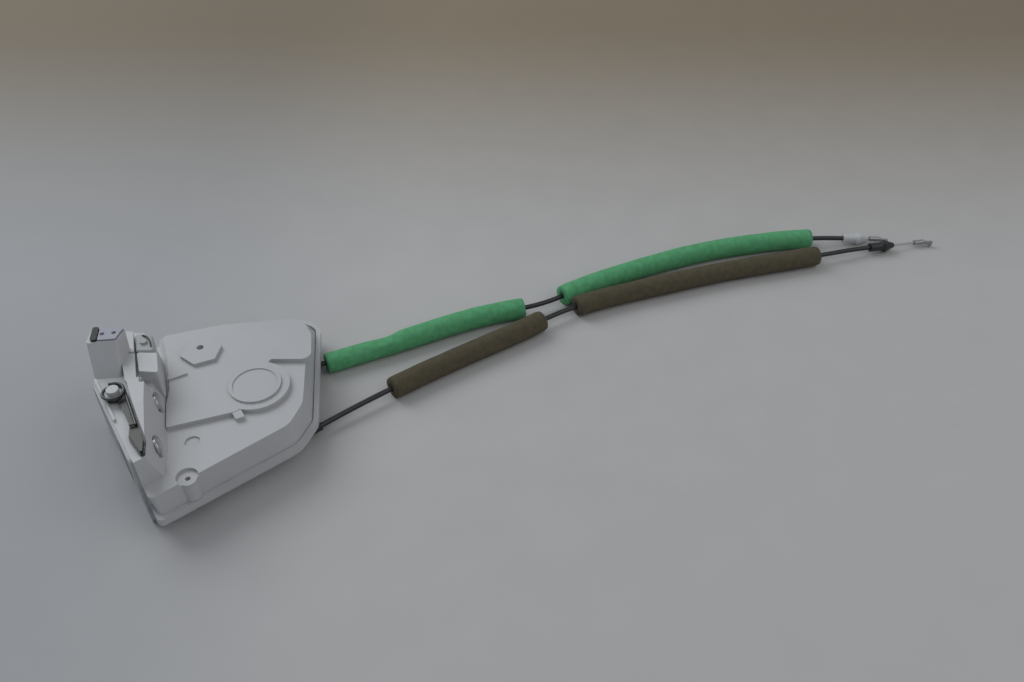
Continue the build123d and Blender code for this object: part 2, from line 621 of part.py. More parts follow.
TERMINAL_PITCH = 4.6
LOCK_X, LOCK_Y = polar(LOCK_ANGLE, TOOTH * (PINION_TEETH + SECTOR_TEETH) / 2, (DISC_X, DISC_Y))
LOCK_Z = PINION_Z + 0.6
WHEEL_Z = PINION_Z + PINION_T
WORM_X = DISC_X + WHEEL_R + WORM_R + GAP
WORM_Z = WHEEL_Z + 0.4 + WHEEL_T / 2
MOTOR_START = DISC_Y + WORM_L / 2 + 8.0
MOTOR_END = MOTOR_START + MOTOR_L
PIN_TOP = PLATEAU_Z - 1.8
PINS = [(LOCK_X, LOCK_Y, LOCK_PIN_R, PIN_TOP), (DISC_X, DISC_Y, WHEEL_PIN_R, PIN_TOP),
        (RELEASE_X, RELEASE_Y, RELEASE_PIN_R, PIN_TOP)]


def along_run(start, towards, offset, length, radius):
    """A round bar on the line of a cable run, past its second point by an offset."""
    a = Vector(*start)
    b = Vector(*towards)
    along = (b - a).normalized()
    return Plane(origin=b + along * offset, z_dir=along) * extrude(Circle(radius), length)


def housing_cover():
    low, low_radii = base_outline(RIM_T)
    cover = tub(low, low_radii, PLATEAU, PLATEAU_RADII, SEAM_Z, PLATEAU_Z)
    ear_x, ear_y = SCREWS[0][:2]
    cover += post_z(ear_x, ear_y, BOSS_R + 0.6, RIM_TOP + GAP, EAR_TOP)
    cover -= post_z(ear_x, ear_y, BOSS_R + 1.8, EAR_TOP, PLATEAU_Z + 1)
    raised = prism(RAISED, PLATEAU_Z - 1, PLATEAU_Z + STEP_H, RAISED_RADII)
    raised += post_z(DISC_X, DISC_Y, RAISED_DISC_R, PLATEAU_Z - 1, PLATEAU_Z + STEP_H)
    cover += raised - prism(BESIDE, 0, 60)
    cover += prism(SHORT_STEP, PLATEAU_Z, PLATEAU_Z + STEP_H + 1.3, [1.0] * 4)
    cover += prism(TAB, PLATEAU_Z - 1, PLATEAU_Z + STEP_H - 0.3, [1.0] * 4)
    top = PLATEAU_Z + STEP_H
    disc = post_z(DISC_X, DISC_Y, DISC_R, top - 1, top + DISC_H)
    disc -= post_z(DISC_X, DISC_Y, DISC_R - DISC_STEP, top + DISC_H - 0.7, top + DISC_H + 1)
    cover += disc
    hexagon = Pos(HEX_X, HEX_Y, top - 1) * Rot(0, 0, HEX_TURN) * extrude(RegularPolygon(HEX_R, 6), HEX_H + 1)
    cover += hexagon
    low, low_radii = base_outline(RIM_T + WALL)
    high, high_radii = cover_outline(WALL)
    cavity = tub(low, low_radii, high, high_radii, SEAM_Z - 0.01, PLATEAU_Z - WALL) - side_wall()
    for x, y, seat in SCREWS[1:]:
        cavity -= post_z(x, y, BOSS_R, SEAM_Z - 1, PLATEAU_Z)
    cavity -= post_z(ear_x, ear_y, BOSS_R + 1.8 + WALL, SEAM_Z - 1, PLATEAU_Z)
    for x, y, radius, pin_top in PINS:
        cavity -= post_z(x, y, radius + 2.0, PLATEAU_Z - WALL - 2.6, PLATEAU_Z)
    cover -= cavity
    for x, y, seat in SCREWS:
        cover -= post_z(x, y, SCREW_R, SEAM_Z - 1, SCREW_TOP + 1)
    for x, y, radius, pin_top in PINS:
        cover -= post_z(x, y, radius, PLATEAU_Z - WALL - 3, pin_top)
    cover -= post_z(RELEASE_X, RELEASE_Y, 4.4, PLATEAU_Z - 1.1, PLATEAU_Z + 1)
    cover -= post_z(HEX_X + 0.4, HEX_Y + 3.0, HEX_HOLE_R, top - 1, top + HEX_H + 1)
    cover -= post_z(ear_x, ear_y, SCREW_R - 0.2, SCREW_TOP, EAR_TOP + 1)
    window_low = (14.0, WINDOW_LOW_Y, WINDOW_LOW_Z)
    cover -= block(window_low, (30.0, WINDOW_HIGH_Y, WINDOW_HIGH_Z))
    return cover - rim()



def housing_screws():
    screws = []
    for x, y, seat in SCREWS:
        screw = post_z(x, y, SCREW_R, seat - 0.5, SCREW_TOP)
        screw += post_z(x, y, SCREW_HEAD_R, seat - SCREW_HEAD_H, seat)
        recess = Pos(x, y, seat - SCREW_HEAD_H) * extrude(RegularPolygon(1.7, 6), 1.2)
        screws.append(screw - recess)
    return Compound(children=[s.solids()[0] for s in screws])


def cable_bushes():
    bushes = []
    for route in (RELEASE_ROUTE, LOCK_ROUTE):
        bush = along_run(route[1], route[0], 0, BUSH_L, BUSH_R)
        bush -= along_run(route[1], route[0], -1, BUSH_L + 2, WIRE_R + 0.2)
        bushes.append(bush.solids()[0])
    return Compound(children=bushes)


# ---- lock drive -----------------------------------------------------------------
def lock_motor():
    body = Circle(MOTOR_R) & Rectangle(4 * MOTOR_R, 2 * MOTOR_FLAT)
    can = extrude(body, MOTOR_L)
    can += Pos(0, 0, MOTOR_L - 0.5) * extrude(Circle(3.2), 2.0)
    can += Pos(0, 0, -1.6) * extrude(Circle(3.0), 2.0)
    shaft = Pos(0, 0, -(MOTOR_START - DISC_Y + WORM_L / 2 + 1.0)) * extrude(Circle(SHAFT_R), 24.0)
    return Pos(WORM_X, MOTOR_START, WORM_Z) * Rot(-90, 0, 0) * (can + shaft)


def motor_worm():
    core = extrude(Circle(WORM_R - 0.9), WORM_L)
    for i in range(int(WORM_L / WORM_PITCH)):
        disc = Cone(WORM_R - 0.9, WORM_R, 0.5, align=(Align.CENTER, Align.CENTER, Align.MIN))
        disc += Pos(0, 0, 0.5) * extrude(Circle(WORM_R), 0.5)
        core += Pos(0, 0, 0.5 + i * WORM_PITCH) * disc
    core -= Pos(0, 0, -1) * extrude(Circle(SHAFT_R + 0.05), WORM_L + 2)
    return Pos(WORM_X, DISC_Y - WORM_L / 2, WORM_Z) * Rot(-90, 0, 0) * core


def worm_wheel():
    wheel = extrude(Circle(WHEEL_R - 1.0), WHEEL_T)
    tooth = outline([(WHEEL_R - 1.6, -0.9), (WHEEL_R, -0.35), (WHEEL_R, 0.35), (WHEEL_R - 1.6, 0.9)])
    teeth = [Rot(0, 0, i * 360 / WHEEL_TEETH) * tooth for i in range(WHEEL_TEETH)]
    wheel += extrude(Sketch() + teeth, WHEEL_T)
    wheel = Pos(0, 0, WHEEL_Z + 0.4) * wheel
    wheel += Pos(0, 0, WHEEL_Z - 0.5) * extrude(Circle(WHEEL_PIN_R + 2.0), 1.0)
    pinion = toothed(PINION_TEETH, 0.5 + PINION_TEETH * LOCK_ANGLE / 360, PINION_TEETH, PINION_T)
    pinion += extrude(Circle(TOOTH * PINION_TEETH / 2 - 1.15 * TOOTH), PINION_T)
    wheel += Pos(0, 0, PINION_Z) * pinion
    wheel -= post_z(0, 0, WHEEL_PIN_R + RUN, 0, 40)
    return Pos(DISC_X, DISC_Y, 0) * wheel


def lock_lever():
    """A toothed sector on one side of the pivot and the cable arm on the other."""
    pitch_r = TOOTH * SECTOR_TEETH / 2
    mesh = LOCK_ANGLE - 180
    step = 360 / SECTOR_TEETH
    count = 8
    first = (mesh + LOCK_SWEEP / 2) / step - (count - 1) / 2
    first = round(first - mesh / step) + mesh / step
    sector = toothed(SECTOR_TEETH, first, count, LOCK_PLATE_T)
    edge_r = pitch_r - 1.15 * TOOTH
    low_angle = (first - 0.6) * step
    high_angle = (first + count - 0.4) * step
    rim = [polar(low_angle + (high_angle - low_angle) * i / 8, edge_r) for i in range(9)]
    plate = outline([(0, 0)] + rim)
    lever = extrude(plate, LOCK_PLATE_T) + sector
    lever += extrude(Circle(LOCK_PIN_R + 3.4), LOCK_PLATE_T)
    arm_end = polar(LOCK_ARM_ANGLE, LOCK_ARM)
    normal = polar(LOCK_ARM_ANGLE + 90, 3.4)
    corners = [(normal[0], normal[1]), (-normal[0], -normal[1]),
               (arm_end[0] - normal[0], arm_end[1] - normal[1]), (arm_end[0] + normal[0], arm_end[1] + normal[1])]
    lever += extrude(outline(corners), LOCK_PLATE_T)
    lever += Pos(*arm_end, 0) * extrude(Circle(3.4), LOCK_PLATE_T)
    lever -= Pos(*arm_end, -1) * extrude(Circle(1.4), LOCK_PLATE_T + 2)
    lever -= Pos(0, 0, -1) * extrude(Circle(LOCK_PIN_R + RUN), LOCK_PLATE_T + 2)
    return Pos(LOCK_X, LOCK_Y, LOCK_Z) * lever


LOCK_SWEEP = 24.0
LOCK_ARM_ANGLE = 96.0


def release_lever():
    lever = post_z(0, 0, RELEASE_PIN_R + 3.4, 0, RELEASE_PLATE_T)
    lever += block((FINGER_TIP_X - RELEASE_X, -FINGER_W / 2, 0), (0, FINGER_W / 2, RELEASE_PLATE_T))
    lever += block((-3.0, -RELEASE_ARM, 0), (3.0, 0, RELEASE_PLATE_T))
    lever += post_z(0, -RELEASE_ARM, 3.0, 0, RELEASE_PLATE_T)
    lever -= post_z(0, -RELEASE_ARM, 1.4, -1, RELEASE_PLATE_T + 1)
    lever -= post_z(0, 0, RELEASE_PIN_R + RUN, -1, RELEASE_PLATE_T + 1)
    return Pos(RELEASE_X, RELEASE_Y, RELEASE_Z) * lever


def standing_pin(index):
    x, y, radius, top = PINS[index]
    return post_z(x, y, radius, 1.0, top)


def connector_terminals():
    pins = []
    for i in range(TERMINALS):
        x = SOCKET_X + (i - (TERMINALS - 1) / 2) * TERMINAL_PITCH
        half = TERMINAL_SIDE / 2
        low = (x - half, SOCKET_START - 2, TERMINAL_Z - half)
        pins.append(block(low, (x + half, SOCKET_END - 4, TERMINAL_Z + half)))
    return Compound(children=[p.solids()[0] for p in pins])


# ---- cables -----------------------------------------------------------------------
def bend_radii(points):
    """The largest tidy bend at each inner point of a route."""
    radii = []
    for i in range(1, len(points) - 1):
        a = Vector(*points[i]) - Vector(*points[i - 1])
        b = Vector(*points[i + 1]) - Vector(*points[i])
        turn = math.radians(a.get_angle(b))
        radii.append(0.45 * min(a.length, b.length) / math.tan(turn / 2))
    return radii


def on_run(points, run, share):
    return Vector(*points[run]) * (1 - share) + Vector(*points[run + 1]) * share


def route_part(points, first, first_share, last, last_share):
    """The route between a place on run `first` and a place on run `last`."""
    start = on_run(points, first, first_share)
    end = on_run(points, last, last_share)
    radii = bend_radii(points)[first:last]
    return FilletPolyline(start, *[Vector(*p) for p in points[first + 1:last + 1]], end, radius=radii)


def whole_route(points):
    return FilletPolyline(*[Vector(*p) for p in points], radius=bend_radii(points))


def tube(path, outer, inner=0.0):
    profile = Circle(outer)
    if inner > 0:
        profile -= Circle(inner)
    return sweep(Plane(path @ 0, z_dir=path % 0) * profile, path=path)


def ferrule(route):
    """A push-in cable end: a round shank and a barbed arrow head with two flats."""
    low = (Align.CENTER, Align.CENTER, Align.MIN)
    head_start = FERRULE_SHANK + FERRULE_FLARE
    head = Pos(0, 0, FERRULE_SHANK) * Cone(FERRULE_R, FERRULE_HEAD_R, FERRULE_FLARE, align=low)
    head += Pos(0, 0, head_start) * Cone(FERRULE_HEAD_R, FERRULE_TIP_R, FERRULE_L - head_start, align=low)
    head &= Pos(0, 0, FERRULE_L / 2) * Box(4 * FERRULE_R, FERRULE_FLATS, FERRULE_L)
    shank = extrude(Circle(FERRULE_R), FERRULE_SHANK)
    start = Vector(*route[-1])
    along = (start - Vector(*route[-2])).normalized()
    side = Vector(-along.Y, along.X, 0).normalized()
    part = Plane(origin=start, x_dir=side, z_dir=along) * (shank + head)
    part -= along_run(route[-2], route[-1], FERRULE_L - WIRE_IN - 1.0, WIRE_IN + 2, WIRE_R + RUN)
    return part


def wire(route, out):
    return along_run(route[-2], route[-1], FERRULE_L - WIRE_IN, WIRE_IN + out + 2.0, WIRE_R)


def hook(route, out):
    """A crimped barrel whose flat tab is bent aside and ends in a cross pin."""
    start = Vector(*route[-1])
    along = (start - Vector(*route[-2])).normalized()
    side = Vector(-along.Y, along.X, 0).normalized()
    frame = Plane(origin=start + along * (FERRULE_L + out), x_dir=along, z_dir=along.cross(side))
    barrel = Rot(0, 90, 0) * extrude(Circle(HOOK_BARREL_R), HOOK_BARREL_L)
    tab = Pos(HOOK_TAB_L / 2, 0, 0) * Box(HOOK_TAB_L + 1.6, 2 * HOOK_PIN_R, 1.8)
    tab += post_z(HOOK_TAB_L, 0, HOOK_PIN_R, -HOOK_PIN_H / 2, HOOK_PIN_H / 2)
    part = barrel + Pos(HOOK_BARREL_L - 0.8, 0, 0) * Rot(0, 0, -HOOK_BEND) * tab
    part -= Pos(-0.5, 0, 0) * Rot(0, 90, 0) * extrude(Circle(WIRE_R), 2.5)
    return frame * part


# ---- everything, moved so that the origin is under its middle ------------------------
def all_parts():
    parts = {}
    parts["face_plate"] = face_plate()
    parts["latch_body"] = latch_body()
    parts["back_plate"] = back_plate()
    parts["claw"] = claw()
    parts["claw_jacket"] = claw_jacket()
    parts["claw_pivot"] = pivot(CLAW_Y, CLAW_Z, CLAW_PIN_R, CLAW_SEAT)
    parts["claw_spring"] = coil_x(CLAW_Y, CLAW_Z, CLAW_PIN_R + 1.2, 1.0, PLATE_T + 0.1, 1.2, 90, 9.0)
    parts["pawl"] = pawl()
    parts["pawl_pivot"] = pivot(PAWL_Y, PAWL_Z, PAWL_PIN_R, PAWL_SEAT)
    parts["pawl_spring"] = coil_x(PAWL_Y, PAWL_Z, PAWL_PIN_R + 1.2, 1.0, PLATE_T + 0.1, 1.2, 270, 6.0)
    parts["top_plate"] = top_plate()
    parts["edge_strip"] = edge_strip()
    parts["door_switch"] = door_switch()
    parts["switch_pin"] = switch_pin()
    parts["outside_lever"] = outside_lever()
    parts["lever_spring"] = lever_spring()
    parts["lever_retainer"] = lever_retainer()
    parts["release_lever"] = release_lever()
    parts["lock_lever_pivot"] = standing_pin(0)
    parts["wheel_pin"] = standing_pin(1)
    parts["release_lever_pivot"] = standing_pin(2)
    parts["lock_lever"] = lock_lever()
    parts["worm_wheel"] = worm_wheel()
    parts["motor_worm"] = motor_worm()
    parts["lock_motor"] = lock_motor()
    parts["housing_base"] = housing_base()
    parts["housing_cover"] = housing_cover()
    parts["housing_screws"] = housing_screws()
    parts["connector_terminals"] = connector_terminals()
    parts["cable_bushes"] = cable_bushes()
    return parts


# Route, wire length outside the ferrule, and where each foam sleeve starts and ends:
# run and share of that run, twice.
CABLES = {
    "release": (RELEASE_ROUTE, RELEASE_WIRE_OUT, [(1, 0.55, 4, 0.58), (5, 0.5, 9, 0.69)]),
    "lock": (LOCK_ROUTE, LOCK_WIRE_OUT, [(0, 0.17, 4, 0.61), (5, 0.5, 9, 0.93)]),
}


def cable_parts():
    parts = {}
    for name, (route, out, spans) in CABLES.items():
        path = whole_route(route)
        parts[name + "_conduit"] = tube(path, CONDUIT_R)
        for number, span in enumerate(spans, 1):
            parts[name + "_sleeve_" + str(number)] = tube(route_part(route, *span), SLEEVE_R, CONDUIT_R)
        parts[name + "_ferrule"] = ferrule(route)
        parts[name + "_wire"] = wire(route, out)
        parts[name + "_hook"] = hook(route, out)
        radii = ", ".join(str(round(r)) for r in bend_radii(route))
        volume = parts[name + "_conduit"].volume
        section = math.pi * CONDUIT_R ** 2
        print(name, "length", round(path.length, 1), "bend radii", radii)
        print(name, "volume over section x length", round(volume / (section * path.length), 4))
    return parts


def claw_jacket():
    """The moulded coat on the inner side of the claw, wrapped over the jaw tips' faces."""
    half = MOUTH_HALF
    upper = -(half + JAW_UPPER_W)
    lower = half + JAW_LOWER_W
    shape = outline([(0, -CLAW_HUB_R + 0.6), (9, upper + 0.8), (CLAW_UPPER_R, upper + 0.8),
                     (CLAW_UPPER_R, lower - 0.8), (8, lower - 0.8), (0, CLAW_HUB_R - 0.6)])
    shape = shape & Circle(CLAW_LOWER_R - 0.8)
    shape += Circle(CLAW_HUB_R - 0.6)
    mouth_centre = CLAW_MOUTH_ROOT + half
    shape -= Pos(mouth_centre, 0) * Circle(half + 0.6)
    shape -= outline([(mouth_centre, -half - 0.6), (40, -half - 0.6), (40, half + 0.6), (mouth_centre, half + 0.6)])
    shape -= Circle(CLAW_PIN_R + RUN)
    lying = Pos(CLAW_Y, CLAW_Z) * Rot(0, 0, CLAW_MOUTH_ANGLE)
    return Plane.YZ.offset(CLAW_X + CLAW_T) * lying * extrude(shape, JACKET_T)


fixed = all_parts()
corded = cable_parts()
boxes = [shape.bounding_box() for shape in fixed.values()]
middle_x = (min(b.min.X for b in boxes) + max(b.max.X for b in boxes)) / 2
middle_y = (min(b.min.Y for b in boxes) + max(b.max.Y for b in boxes)) / 2
bottom = min(b.min.Z for b in boxes)
print("shift", round(-middle_x, 3), round(-middle_y, 3), round(-bottom, 3))
top = max(b.max.Z for b in boxes)
print("latch size", round(2 * (max(b.max.X for b in boxes) - middle_x), 2),
      round(2 * (max(b.max.Y for b in boxes) - middle_y), 2), round(top - bottom, 2))
for name, shape in {**fixed, **corded}.items():
    moved = Pos(-middle_x, -middle_y, -bottom) * shape
    solids = moved.solids()
    moved = Compound(children=list(solids)) if len(solids) > 1 else solids[0]
    moved.label = name
    export_step(moved, "parts/" + name + ".step")
    print(name, len(solids), "solids", round(moved.volume))
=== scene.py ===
import math

import bmesh
import bpy
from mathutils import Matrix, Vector, noise


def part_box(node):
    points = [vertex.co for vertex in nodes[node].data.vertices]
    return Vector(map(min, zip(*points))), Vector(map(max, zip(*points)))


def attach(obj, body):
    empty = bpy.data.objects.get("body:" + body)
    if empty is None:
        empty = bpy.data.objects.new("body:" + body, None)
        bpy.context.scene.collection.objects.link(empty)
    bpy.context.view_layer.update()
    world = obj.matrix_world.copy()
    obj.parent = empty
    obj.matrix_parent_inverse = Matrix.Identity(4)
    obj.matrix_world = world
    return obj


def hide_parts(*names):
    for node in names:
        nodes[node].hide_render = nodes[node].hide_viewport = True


MM = 0.001

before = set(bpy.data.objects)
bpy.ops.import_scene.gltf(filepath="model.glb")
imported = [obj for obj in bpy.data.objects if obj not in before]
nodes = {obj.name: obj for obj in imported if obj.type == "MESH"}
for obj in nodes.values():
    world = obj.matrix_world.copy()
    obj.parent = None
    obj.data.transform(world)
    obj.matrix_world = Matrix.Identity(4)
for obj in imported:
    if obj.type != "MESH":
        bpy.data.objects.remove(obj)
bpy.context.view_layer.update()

# In the latch frame the face plate's outer face is X = 0 and its near edge is at this Y, in mm.
PLATE_NEAR_Y = -53.0
SHIFT = Vector(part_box("face_plate")[0]) - Vector((0.0, PLATE_NEAR_Y * MM, 0.0))


def at(x, y, z):
    """A point of the latch frame, in millimetres, as a place in the row frame."""
    return Vector((x, y, z)) * MM + SHIFT


# ---- camera -------------------------------------------------------------------
CAMERA_AT = (-13.0, -440.0, 430.6)
LOOK_ALONG = (0.552, 0.834)
LOOK_DOWN = math.radians(41.5)
LENS = 33.05
SENSOR = 36.0

camera = bpy.data.objects.new("camera", bpy.data.cameras.new("camera"))
bpy.context.scene.collection.objects.link(camera)
bpy.context.scene.camera = camera
camera.data.lens = LENS
camera.data.sensor_width = SENSOR
camera.data.clip_start = 0.01
camera.location = at(*CAMERA_AT)
look = Vector((*LOOK_ALONG, 0.0)).normalized() * math.cos(LOOK_DOWN)
look.z = -math.sin(LOOK_DOWN)
camera.rotation_euler = look.to_track_quat("-Z", "Y").to_euler()


# ---- cables -------------------------------------------------------------------
CONDUIT_D = 3.5 * MM
SLEEVE_R = 7.55 * MM
SLEEVE_BORE_R = 1.7 * MM
FEWEST_RINGS = 40
RING_STEP = 2.0 * MM
RING_POINTS = 72
CUT_DEPTH = 5.0 * MM
CUT_ROUNDING = 0.07
CUT_ROUNDING_RUN = 0.8 * MM
TABLE_GAP = 0.1 * MM
# The foam's skin as a share of the radius: its mean, then two noises, each with its scale along the
# cable, its scale round it and its height.
SKIN_MEAN = 0.97
SKIN_ROUGH = (90, 0.7, 0.018)
SKIN_BROAD = (28, 0.4, 0.03)
# The first green sleeve is squeezed in up to its waist and pinched just before it. Depths are
# shares of the radius, places and runs are shares of the length, and the turn is in radians.
LOCK_WAIST = 0.355
WAIST_DEPTH = 0.15
WAIST_RUN = 0.028
WAIST_TURN = 0.85
PINCH_DEPTH = 0.10
PINCH_RUN = 0.06
# The grey-brown sleeves' slit: its angle, width and sway in radians, from the near side up.
RELEASE_SEAM = -0.55
SEAM_DEPTH = 0.45 * MM
SEAM_WIDTH = 0.075
SEAM_SWAY = 0.10
SEAM_WAVES = 7.0
# The conduits' control points in the latch frame, in millimetres, the same as in the solids.
RELEASE_ROUTE = [
    (109.5, -41.0, 6.6), (134.0, -38.2, 7.0), (184.0, -35.4, 7.0), (224.0, -34.8, 7.0),
    (262.0, -35.6, 7.0), (294.0, -33.4, 7.0), (325.5, -37.0, 7.0), (372.0, -48.2, 7.0),
    (424.0, -61.8, 7.0), (474.0, -78.8, 7.0), (508.0, -90.5, 7.0), (530.0, -96.4, 6.0),
    (541.5, -100.6, 5.4),
]
LOCK_ROUTE = [
    (133.0, 9.6, 7.0), (154.0, 6.4, 7.0), (186.0, 1.4, 7.0), (222.0, -2.6, 7.0),
    (256.0, -8.4, 7.0), (291.0, -20.4, 7.0), (326.0, -19.4, 7.0), (374.0, -24.6, 7.0),
    (428.0, -34.2, 7.0), (484.0, -54.6, 7.0), (511.8, -68.9, 7.0), (525.2, -76.1, 6.2),
    (533.6, -80.7, 5.4),
]


def spline_curve(name, route):
    """One open NURBS spline with the route's points as control points.

    A point's radius widens the curve's bounds, so it is a millimetre and the bevel counts in it."""
    data = bpy.data.curves.new(name, "CURVE")
    data.dimensions = "3D"
    data.resolution_u = 12
    spline = data.splines.new("NURBS")
    spline.points.add(len(route) - 1)
    for point, place in zip(spline.points, route):
        point.co = (*at(*place), 1.0)
        point.radius = MM
    spline.order_u = 3
    spline.use_endpoint_u = True
    curve = bpy.data.objects.new(name, data)
    bpy.context.scene.collection.objects.link(curve)
    return curve


def mesh_of(curve):
    """The curve as a mesh of its own."""
    depsgraph = bpy.context.evaluated_depsgraph_get()
    return bpy.data.meshes.new_from_object(curve.evaluated_get(depsgraph))


def line_of(curve):
    """The points of a curve that has no bevel yet, in order."""
    mesh = mesh_of(curve)
    line = [v.co.copy() for v in mesh.vertices]
    bpy.data.meshes.remove(mesh)
    return line


def point_along(line, distance):
    """The place and direction at a distance along a line of points."""
    for a, b in zip(line, line[1:]):
        step = (b - a).length
        if distance <= step and step > 0:
            return a.lerp(b, distance / step), (b - a).normalized()
        distance -= step
    return line[-1].copy(), (line[-1] - line[-2]).normalized()


def nearest_distance(line, place):
    """How far along the line its nearest point to a place lies."""
    best = (1e9, 0.0)
    run = 0.0
    for a, b in zip(line, line[1:]):
        step = (b - a).length
        share = max(0.0, min(1.0, (place - a).dot(b - a) / max(step * step, 1e-12)))
        best = min(best, ((a.lerp(b, share) - place).length, run + share * step))
        run += step
    return best[1]


def thicken(curve, radius, resolution):
    """Gives the curve a round section with closed ends; its points' radius is a millimetre."""
    curve.data.bevel_depth = radius / MM
    curve.data.bevel_resolution = resolution
    curve.data.use_fill_caps = True


def smooth_object(name, mesh):
    for polygon in mesh.polygons:
        polygon.use_smooth = True
    made = bpy.data.objects.new(name, mesh)
    bpy.context.scene.collection.objects.link(made)
    return made


def skin(centre, out, seed):
    """How far out the foam's uneven skin lies, as a share of the sleeve's radius."""
    reach = SKIN_MEAN
    for (along, around, height), offset in ((SKIN_ROUGH, (seed, 0, 0)), (SKIN_BROAD, (0, seed, 0))):
        reach += height * noise.noise(centre * along + out * around + Vector(offset))
    return reach


def squeeze_depth(share, turn, waist):
    """How deep the far side is squeezed in before the waist, as a share of the radius."""
    squeeze = 0.5 - 0.5 * math.tanh((share - waist) / WAIST_RUN)
    far = max(0.0, -math.cos(turn + WAIST_TURN))
    pinch = math.exp(-((share - waist + PINCH_RUN) / PINCH_RUN) ** 2)
    return far * (WAIST_DEPTH * squeeze + PINCH_DEPTH * pinch)


def slit_depth(share, turn, seam, seed):
    """How deep the slit is at this angle; it wanders a little along the sleeve."""
    away = math.atan2(math.sin(turn - seam), math.cos(turn - seam))
    sway = SEAM_SWAY * noise.noise(Vector((share * SEAM_WAVES, seed, 3.0)))
    return SEAM_DEPTH * math.exp(-((away - sway) / SEAM_WIDTH) ** 2)


def foam_sleeve(name, line, start, end, seed, waist=None, seam=None):
    """A foam tube round part of a cable: soft uneven skin and a cut end at each side.

    The waist is a share of the length, and the seam is the angle of the slit that the tube was
    pushed on through."""
    count = max(FEWEST_RINGS, int((end - start) / RING_STEP))
    mesh = bpy.data.meshes.new(name)
    bm = bmesh.new()
    rings = []
    for i in range(count + 1):
        share = i / count
        centre, along = point_along(line, start + (end - start) * share)
        side = along.cross(Vector((0, 0, 1))).normalized()
        up = side.cross(along)
        edge = min(share, 1.0 - share) * (end - start)
        rounding = 1.0 - CUT_ROUNDING * math.exp(-(edge / CUT_ROUNDING_RUN) ** 2)
        ring = []
        for k in range(RING_POINTS):
            turn = 2 * math.pi * k / RING_POINTS
            out = side * math.cos(turn) + up * math.sin(turn)
            reach = SLEEVE_R * rounding * skin(centre, out, seed)
            if waist is not None:
                reach -= SLEEVE_R * squeeze_depth(share, turn, waist)
            if seam is not None:
                reach -= slit_depth(share, turn, seam, seed)
            place = centre + out * reach
            place.z = max(place.z, TABLE_GAP)
            ring.append(bm.verts.new(place))
        rings.append(ring)
    for a, b in zip(rings, rings[1:]):
        for k in range(RING_POINTS):
            after = (k + 1) % RING_POINTS
            bm.faces.new((a[k], a[after], b[after], b[k]))
    for ring, here, flip in ((rings[0], start, False), (rings[-1], end, True)):
        centre, along = point_along(line, here)
        inward = -along if flip else along
        inner = [bm.verts.new(centre + (v.co - centre).normalized() * SLEEVE_BORE_R) for v in ring]
        deep = [bm.verts.new(v.co + inward * CUT_DEPTH) for v in inner]
        for a, b in ((ring, inner), (inner, deep)):
            for k in range(RING_POINTS):
                after = (k + 1) % RING_POINTS
                face = (a[k], b[k], b[after], a[after])
                bm.faces.new(face[::-1] if flip else face)
    bmesh.ops.recalc_face_normals(bm, faces=bm.faces)
    bm.to_mesh(mesh)
    bm.free()
    return smooth_object(name, mesh)


# Route, then where each foam sleeve starts and ends: run and share of that run, twice.
CABLES = {
    "release": (RELEASE_ROUTE, (1, 0.55, 4, 0.58), (5, 0.5, 9, 0.69)),
    "lock": (LOCK_ROUTE, (0, 0.17, 4, 0.61), (5, 0.5, 9, 0.93)),
}


def on_run(route, run, share):
    return at(*route[run]).lerp(at(*route[run + 1]), share)


sleeves = {}
conduits = {}
for cable, (route, *spans) in CABLES.items():
    conduit = spline_curve(cable + "_cable", route)
    line = line_of(conduit)
    made = []
    for number, span in enumerate(spans, 1):
        start = nearest_distance(line, on_run(route, *span[:2]))
        end = nearest_distance(line, on_run(route, *span[2:]))
        waist = LOCK_WAIST if cable == "lock" and number == 1 else None
        seam = RELEASE_SEAM if cable == "release" else None
        seed = number + len(cable)
        sleeve = foam_sleeve(f"{cable}_foam_{number}", line, start, end, seed, waist, seam)
        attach(sleeve, "latch")
        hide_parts(f"{cable}_sleeve_{number}")
        made.append(sleeve)
    thicken(conduit, CONDUIT_D / 2, 4)
    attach(conduit, "latch")
    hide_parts(cable + "_conduit")
    sleeves[cable] = made
    conduits[cable] = conduit


# The thin contact wire on top of the door switch, a mesh made from a curve that doesn't stay.
CONTACT_ROUTE = [(36.8, 39.0, 57.5), (38.7, 35.4, 58.3), (39.0, 31.0, 58.1), (37.9, 26.4, 57.5)]
CONTACT_R = 0.45 * MM
contact_line = spline_curve("contact_line", CONTACT_ROUTE)
thicken(contact_line, CONTACT_R, 3)
contact = smooth_object("contact_wire", mesh_of(contact_line))
bpy.data.objects.remove(contact_line)
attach(contact, "latch")


# ---- materials ------------------------------------------------------------------
ROUGHNESS_SPREAD = 0.08
LEAST_ROUGHNESS = 0.04
RAMP = (0.3, 0.7)
BUMP_DISTANCE = 0.4 * MM
SCATTER = (0.004, 0.003, 0.002)


